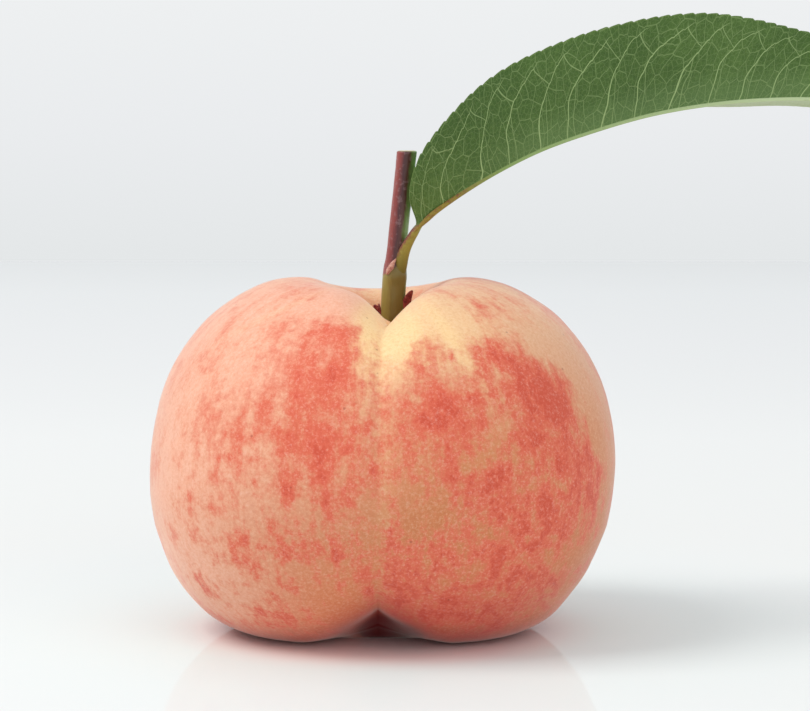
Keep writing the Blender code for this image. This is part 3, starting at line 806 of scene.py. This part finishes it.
def leaf_veins(put, place, length, width, away):
    """How strongly a vein shows, 0 to 1: side veins with their forks, finer ones between, and the net."""
    loose, drift = split_fact(put, "vein")[:2]
    slanted = put("Math", {0: loose, 1: drift}, operation="SUBTRACT")
    branch = put("Math", {0: away, 1: FORK_SLOPE, 2: slanted}, operation="MULTIPLY_ADD")
    crooked = put("TexNoise", {"Vector": place, "Scale": 130.0, "Detail": 1.0})
    leaning = put("Math", {0: away, 1: -4.0, 2: loose}, operation="MULTIPLY_ADD")
    leaning = put("Math", {0: crooked, 1: 2.4, 2: leaning}, operation="MULTIPLY_ADD")
    # Side veins stand a vein pitch apart and fork, and a finer vein fades between each pair. A row says what
    # runs across them, their place in the pitch, half their width in millimetres, where they start and end
    # on the way to the margin, their strength and where they may be.
    forked = put("Math", {0: length, 1: 7.0}, operation="GREATER_THAN")
    fork_phase = 0.5 - FORK_SLOPE * FORK / VEIN_PITCH
    veins = 0.0
    for across, offset, wide, first, last, strength, where in (
            (slanted, 0.5, 0.13, 0.0, 0.9, 1.0, 1.0), (branch, fork_phase, 0.12, FORK, 0.88, 0.7, forked),
            (leaning, 0.02, 0.08, 0.0, 0.55, 0.55, 1.0)):
        off = put("Math", {0: across, 1: 1 / VEIN_PITCH, 2: offset}, operation="MULTIPLY_ADD")
        off = put("Math", {0: off}, operation="FRACT")
        off = put("Math", {0: off, 1: 0.5}, operation="SUBTRACT")
        off = put("Math", {0: off}, operation="ABSOLUTE")
        line = put("MapRange", {"Value": off, "From Min": 0.3 * wide / VEIN_PITCH,
                                "From Max": wide / VEIN_PITCH, "To Min": strength, "To Max": 0.0},
                   interpolation_type="SMOOTHSTEP")
        kept = put("MapRange", {"Value": away, "From Min": last - 0.04, "From Max": last + 0.04,
                                "To Min": 1.0, "To Max": 0.0})
        begun = put("Math", {0: away, 1: first}, operation="GREATER_THAN")
        for share in (kept, begun, where):
            line = put("Math", {0: line, 1: share}, operation="MULTIPLY")
        veins = put("Math", {0: veins, 1: line}, operation="MAXIMUM")
    # The net between them: meshes about 2.8 mm by 1.6 mm, and finer ones within those.
    net_place = put("CombineXYZ", {0: leaning, 1: width, 2: 0.0})
    for stretch, wide, strength in (
            ((0.62, 0.36, 1.0), 0.04, 0.42), ((1.7, 1.2, 1.0), 0.065, 0.24), ((4.2, 3.6, 1.0), 0.10, 0.10)):
        cells = put("VectorMath", {0: net_place, 1: stretch}, operation="MULTIPLY")
        edge = put("TexVoronoi", {"Vector": cells, "Scale": 1.0, "Randomness": 0.85},
                   feature="DISTANCE_TO_EDGE", voronoi_dimensions="2D")
        line = put("MapRange", {"Value": edge, "From Min": 0.25 * wide, "From Max": wide,
                                "To Min": strength, "To Max": 0.0})
        veins = put("Math", {0: veins, 1: line}, operation="MAXIMUM")
    return veins


def stalk_colour(put, place, length, up):
    """Olive, flushed with red along the top, and plain where the stalk leaves the shoot."""
    flush = put("TexNoise", {"Vector": place, "Scale": 1700.0, "Detail": 3.0, "Roughness": 0.7})
    redness = put("Math", {0: up, 1: 0.45, 2: flush}, operation="MULTIPLY_ADD")
    stalk = put("ValToRGB", {0: redness}, stops=(
        (0.3, "#998c3e"), (0.55, "#8d7a35"), (0.72, "#85563a"), (0.88, "#743a3e")))
    grown_out = put("MapRange", {"Value": length, "From Min": -7.8, "From Max": -4.2})
    return put("Mix", {"Factor": grown_out, "A": linear("#746a2d"), "B": stalk}, data_type="RGBA")


def leaf_blade():
    """A living leaf: leathery, dark above, duller below, with pale veins and a stalk flushed with red."""
    made, put = new_material("peach_leaf", Roughness=0.5, IOR=1.42, Specular_IOR_Level=0.35,
                             Sheen_Weight=0.05, Sheen_Roughness=0.4)
    place = put("TexCoord").outputs["Object"]
    length, width, share = split_fact(put, "blade")
    upper, far, up = split_fact(put, "side")
    away = put("Math", {0: share}, operation="ABSOLUTE")
    distance = put("Math", {0: width}, operation="ABSOLUTE")
    veins = leaf_veins(put, place, length, width, away)
    # Cells drawn over half a millimetre wide, so that they show, and clouds about 17 mm across.
    tissue = put("TexNoise", {"Vector": place, "Scale": 1500.0, "Detail": 4.0, "Roughness": 0.7})
    cloud = put("TexNoise", {"Vector": place, "Scale": 60.0, "Detail": 2.0})
    shade = put("Math", {0: tissue, 1: cloud}, operation="ADD")
    shade = put("Math", {0: shade, 1: 0.5}, operation="MULTIPLY")
    colour = put("ValToRGB", {0: shade}, stops=((0.36, "#36541e"), (0.5, "#426026"), (0.64, "#516f32")))
    # The under side is paler beside the midrib, but not near the stalk.
    near_rib = put("MapRange", {"Value": distance, "From Min": 0.5, "From Max": 7.0, "To Min": 0.42,
                                "To Max": 0.0}, interpolation_type="SMOOTHSTEP")
    grown = put("MapRange", {"Value": length, "From Min": 4.0, "From Max": 24.0, "To Min": -0.3})
    near_rib = put("Math", {0: near_rib, 1: grown}, operation="MULTIPLY", use_clamp=True)
    # The far half's under side is painted pale: a painted reflection of the pale table, seen at a grazing
    # angle.
    for part, green in ((near_rib, "#6a8852"), (upper, "#35551f"), (far, "#b0c094")):
        colour = put("Mix", {"Factor": part, "A": colour, "B": linear(green)}, data_type="RGBA")
    vein_colour = put("Mix", {"Factor": upper, "A": linear("#98b075"), "B": linear("#6f8f4a")},
                      data_type="RGBA")
    colour = put("Mix", {"Factor": veins, "A": colour, "B": vein_colour}, data_type="RGBA")
    # A few pale rubbed specks, about a millimetre across.
    specks = put("TexVoronoi", {"Vector": place, "Scale": 75.0, "Randomness": 1.0})
    specks = put("Math", {0: tissue, 1: 0.08, 2: specks}, operation="MULTIPLY_ADD")
    speck = put("MapRange", {"Value": specks, "From Min": 0.08, "From Max": 0.105, "To Min": 0.5,
                             "To Max": 0.0})
    colour = put("Mix", {"Factor": speck, "A": colour, "B": linear("#a5b78a")}, data_type="RGBA")
    rib = put("MapRange", {"Value": distance, "From Min": 0.1, "From Max": 0.4, "To Min": 1.0,
                           "To Max": 0.0}, interpolation_type="SMOOTHSTEP")
    paler = put("MapRange", {"Value": length, "From Min": 14.0, "From Max": 62.0})
    rib_colour = put("Mix", {"Factor": paler, "A": linear("#86a25c"), "B": linear("#bccd9e")},
                     data_type="RGBA")
    colour = put("Mix", {"Factor": rib, "A": colour, "B": rib_colour}, data_type="RGBA")
    margin = put("MapRange", {"Value": away, "From Min": 0.98, "From Max": 0.998, "To Max": 0.3})
    colour = put("Mix", {"Factor": margin, "A": colour, "B": linear("#87a05a")}, data_type="RGBA")
    # The stalk's colour covers all of the stalk, then runs on along the midrib and fades.
    fading = put("MapRange", {"Value": length, "From Min": 6.0, "From Max": 18.0, "To Min": 1.0,
                              "To Max": 0.0}, interpolation_type="SMOOTHSTEP")
    stalk = put("MapRange", {"Value": length, "From Min": -1.0, "From Max": 0.5, "To Min": 1.0,
                             "To Max": 0.0})
    stalk = put("Math", {0: rib, 1: stalk}, operation="MAXIMUM")
    stalk = put("Math", {0: stalk, 1: fading}, operation="MULTIPLY")
    colour = put("Mix", {"Factor": stalk, "A": colour, "B": stalk_colour(put, place, length, up)},
                 data_type="RGBA")
    relief = put("Math", {0: veins, 1: 1.5, 2: tissue}, operation="MULTIPLY_ADD")
    return finished_look(made, put, colour, relief, 0.35, 0.08)


def fibrous_look(name, scale, detail, stops, height, **sockets):
    """A dull material whose colour and relief both follow one fine noise."""
    made, put = new_material(name, **sockets)
    place = put("TexCoord").outputs["Object"]
    fibre = put("TexNoise", {"Vector": place, "Scale": scale, "Detail": detail, "Roughness": 0.7})
    colour = put("ValToRGB", {0: fibre}, stops=stops)
    return finished_look(made, put, colour, fibre, 0.5, height)


def bud_down():
    """A dormant bud under short pale hairs: pinkish tan and dull. Its hairs are drawn 0.4 mm apart."""
    stops = ((0.3, "#8e4f48"), (0.5, "#c28c7c"), (0.7, "#ddb3a0"))
    return fibrous_look("bud_with_down", 2500.0, 3.0, stops, 0.15, Roughness=0.8, Sheen_Weight=0.5,
                        Sheen_Roughness=0.4)


def dry_scale():
    """Dry bud scales: papery and dark red-brown, paler along fibres about half a millimetre apart."""
    stops = ((0.3, "#5a1d22"), (0.52, "#873634"), (0.72, "#bb6a5a"))
    return fibrous_look("papery_scale", 1800.0, 4.0, stops, 0.2, Roughness=0.75)


def lacquered_board():
    """White lacquered board: pale, greyer far away, with a weak clear reflection of what stands on it."""
    made, put = new_material("white_lacquered_board", Roughness=0.04, IOR=1.085)
    place = put("TexCoord").outputs["Object"]
    far = put("SeparateXYZ", {0: place}).outputs[1]
    colour = put("ValToRGB", {0: far}, stops=(
        (0.15, "#ebedec"), (0.45, "#e9ebec"), (0.6, "#e7eaeb"), (FLOOR_FAR, "#dfe2e3")))
    # Painted light: warmer under the fruit as a painted reddish reflection, and cooler in a ring round it to
    # cancel the red light that it throws.
    beside = put("VectorMath", {0: place, 1: FOOT}, operation="DISTANCE").outputs["Value"]
    painted_bounce_tint = put("ValToRGB", {0: beside}, stops=(
        (0.012, "#fcecea"), (0.024, "#f8ecea"), (0.033, "#e8f7f7"), (0.045, "#e9f4f4"), (0.075, "#eaefef"),
        (0.12, "#ebedec")))
    near_fruit = put("MapRange", {"Value": beside, "From Min": 0.08, "From Max": 0.12, "To Min": 1.0,
                                  "To Max": 0.0})
    colour = put("Mix", {"Factor": near_fruit, "A": colour, "B": painted_bounce_tint}, data_type="RGBA")
    return finished_look(made, put, colour)


# ---------------------------------------------------------------- studio


# The table's near and far end and its half width, in metres.
FLOOR_NEAR = -2.2
FLOOR_FAR = 0.74
FLOOR_HALF_WIDTH = 3.0
# The camera's place from the foot of the fruit's axis, how far it looks down in degrees, and its lens.
CAMERA_PLACE = Vector((3.6, -519.0, 101.0)) * MM
CAMERA_DIP = 6.237
CAMERA_LENS = 145.0


def make_floor():
    """A wide pale table that ends some way behind the peach."""
    bm = bmesh.new()
    bmesh.ops.create_grid(bm, x_segments=1, y_segments=1, size=1.0)
    for vert in bm.verts:
        end = FLOOR_NEAR if vert.co.y < 0 else FLOOR_FAR
        vert.co = Vector((vert.co.x * FLOOR_HALF_WIDTH, end, fruit_low.z))
    mesh = bpy.data.meshes.new("table_top")
    bm.to_mesh(mesh)
    bm.free()
    mesh.materials.append(lacquered_board())
    floor = bpy.data.objects.new("table_top", mesh)
    bpy.context.scene.collection.objects.link(floor)


def make_light(name, place, size, power, colour, shines):
    """A soft square light, aimed at the fruit. It shines if glossy surfaces may reflect it."""
    light = bpy.data.lights.new(name, "AREA")
    light.size = size
    light.energy = power
    light.color = linear(colour)[:3]
    lamp = bpy.data.objects.new(name, light)
    lamp.location = FOOT + Vector(place)
    aim = FOOT + Vector((0, 0, 0.03)) - lamp.location
    lamp.rotation_euler = aim.to_track_quat("-Z", "Y").to_euler()
    lamp.visible_glossy = shines
    bpy.context.scene.collection.objects.link(lamp)


def make_studio():
    """A pale room, dimmer overhead, with a soft box up to the left and a weak wide fill at the front."""
    make_floor()
    world = bpy.data.worlds.new("pale_room")
    bpy.context.scene.world = world
    world.use_nodes = True
    put = functools.partial(add_node, world.node_tree)
    back = world.node_tree.nodes["Background"]
    direction = put("TexCoord").outputs["Generated"]
    rise = put("SeparateXYZ", {0: direction}).outputs[2]
    height = put("Math", {0: rise, 1: 0.5}, operation="ADD")
    room = put("ValToRGB", {0: height}, stops=(
        (0.42, "#e4e7e8"), (0.46, "#eaecee"), (0.5, "#eef0f1"), (0.62, "#e3e5e7"), (0.9, "#e0e2e4")))
    world.node_tree.links.new(live(room.outputs), back.inputs["Color"])
    make_light("soft_box", (-1.36, -0.35, 1.7), 1.1, 24.0, "#fffcf8", shines=True)
    make_light("front_fill", (0.9, -1.7, 0.9), 1.6, 6.3, "#fffdfb", shines=False)
    scene = bpy.context.scene
    scene.view_settings.view_transform = "Standard"
    scene.view_settings.look = "None"


def make_camera():
    """A long lens a little above the table, looking slightly down at the fruit."""
    camera = bpy.data.cameras.new("camera")
    camera.lens = CAMERA_LENS
    camera.sensor_width = 36.0
    camera.clip_start = 0.01
    made = bpy.data.objects.new("camera", camera)
    made.location = FOOT + CAMERA_PLACE
    made.rotation_euler = (math.radians(90 - CAMERA_DIP), 0, 0)
    bpy.context.scene.collection.objects.link(made)
    bpy.context.scene.camera = made


make_camera()
make_studio()
make_fruit()
make_shoot()
make_leaf()
make_bud()
make_scales()
